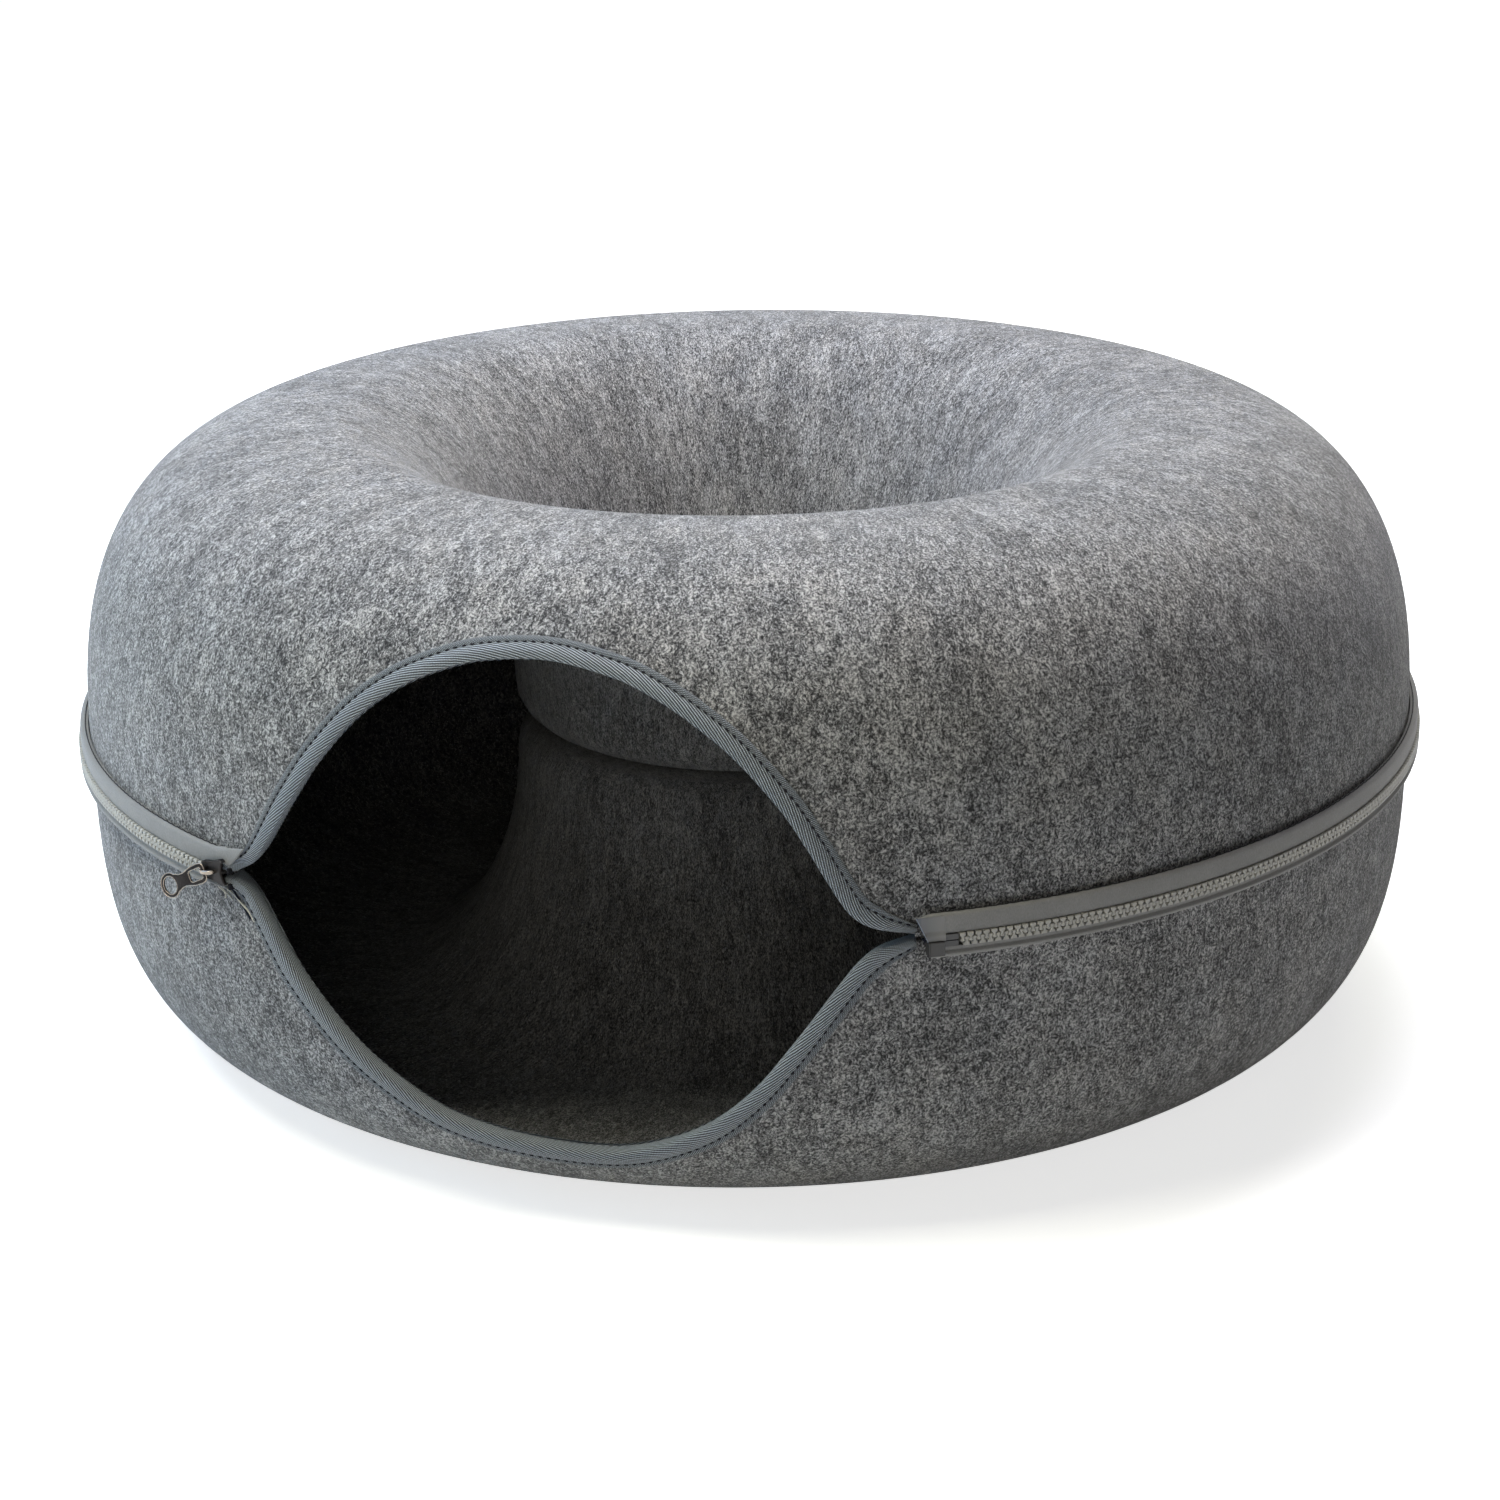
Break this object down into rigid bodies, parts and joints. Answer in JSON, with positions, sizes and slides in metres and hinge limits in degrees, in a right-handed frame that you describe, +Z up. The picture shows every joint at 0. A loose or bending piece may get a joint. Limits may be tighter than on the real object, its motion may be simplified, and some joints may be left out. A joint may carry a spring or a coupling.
{
  "type": "donut cat tunnel",
  "caption": "Ring-shaped felt cat tunnel with a bowl bed on top, an arched front entrance and a separating zip round its middle.",
  "frame": {"origin": "middle of the bowl's floor on its upper face, on the donut's axis and at the zip's height", "axes": "+Z up along the donut's axis, the entrance faces -Y"},
  "size_m": [0.6101, 0.5951, 0.2658],
  "materials": {
    "upper_felt": "pressed heather-grey felt, matt",
    "lower_felt": "pressed heather-grey felt, matt",
    "upper_binding": "ribbed grey twill tape",
    "lower_binding": "ribbed grey twill tape",
    "upper_tape": "woven grey zip tape",
    "lower_tape": "woven grey zip tape",
    "upper_teeth": "moulded warm grey resin",
    "lower_teeth": "moulded warm grey resin",
    "slider_metal": "dark gunmetal, semi-gloss",
    "bridge_metal": "worn bright metal",
    "pull_metal": "dark gunmetal, glossy",
    "box_plastic": "dark grey, matt",
    "insertion_pin_plastic": "dark grey, semi-gloss",
    "box_pin_plastic": "dark grey, semi-gloss",
    "upper_stop_resin": "moulded warm grey resin",
    "lower_stop_resin": "moulded warm grey resin",
    "film_plastic": "thin glossy film"
  },
  "bodies": {
    "lower_half": {"lower_felt_shell": "lower_felt", "lower_zip_tape": "lower_tape", "lower_zip_teeth": "lower_teeth", "lower_entrance_binding": "lower_binding", "retainer_box": "box_plastic", "box_pin": "box_pin_plastic", "lower_top_stop": "lower_stop_resin"},
    "upper_half": {"upper_felt_shell": "upper_felt", "upper_zip_tape": "upper_tape", "upper_zip_teeth": "upper_teeth", "upper_entrance_binding": "upper_binding", "insertion_pin": "insertion_pin_plastic", "upper_top_stop": "upper_stop_resin", "tape_film": "film_plastic"},
    "slider": {"slider_body": "slider_metal", "slider_bridge": "bridge_metal"},
    "pull": {"pull_tab": "pull_metal"}
  },
  "joints": [
    {"name": "upper_half_lift", "type": "slide", "parent": "lower_half", "child": "upper_half", "axis": [0, 0, 1], "range_m": [0, 0.2]},
    {"name": "slider_travel", "type": "hinge", "parent": "lower_half", "child": "slider", "pos_m": [0, 0, 0], "axis": [0, 0, -1], "range_deg": [0, 298.8], "deforming": ["upper_zip_teeth", "lower_zip_teeth"]},
    {"name": "pull_swing", "type": "hinge", "parent": "slider", "child": "pull", "pos_m": [-0.1518, -0.26814, 0], "axis": [-0.4114, 0.2262, 0.8829], "range_deg": [0, 130]}
  ]
}
